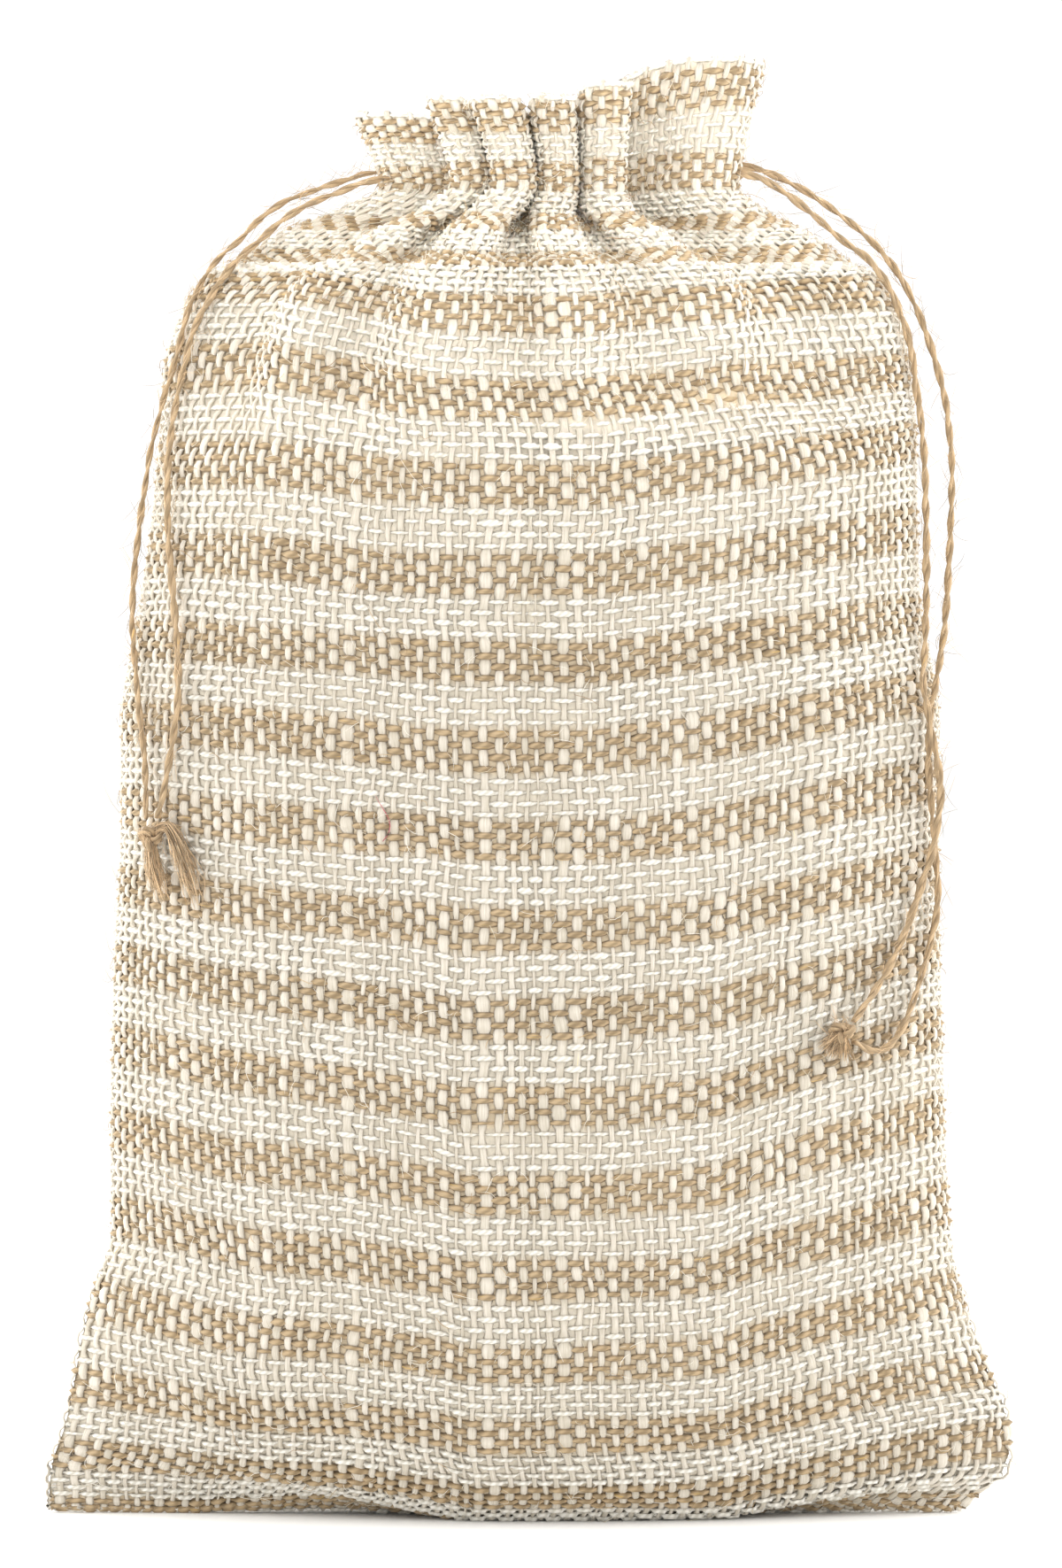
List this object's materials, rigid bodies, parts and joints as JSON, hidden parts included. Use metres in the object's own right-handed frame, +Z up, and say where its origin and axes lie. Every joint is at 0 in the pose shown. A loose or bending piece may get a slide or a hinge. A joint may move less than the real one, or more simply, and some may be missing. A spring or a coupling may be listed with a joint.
{
  "type": "burlap drawstring sack",
  "caption": "Filled-out burlap sack standing on its base, with a gathered neck, a frilled hem, dog-eared bottom corners and knotted twine drawstrings hanging at both sides.",
  "frame": {"origin": "middle of the base, on the surface that the sack stands on", "axes": "+Z up from the base to the neck, +X to the right of the front, -Y to the front where the ties hang"},
  "size_m": [0.2051, 0.0945, 0.3069],
  "materials": {
    "burlap": "open plain weave of bleached jute warp with weft in stripes of bleached and natural jute",
    "twine": "natural jute twine, loosely twisted and hairy"
  },
  "bodies": {
    "root": {"sack_cloth": "burlap", "left_outer_tie": "twine", "left_inner_tie": "twine", "right_outer_tie": "twine", "right_inner_tie": "twine", "left_knot": "twine", "right_knot": "twine"}
  },
  "joints": []
}
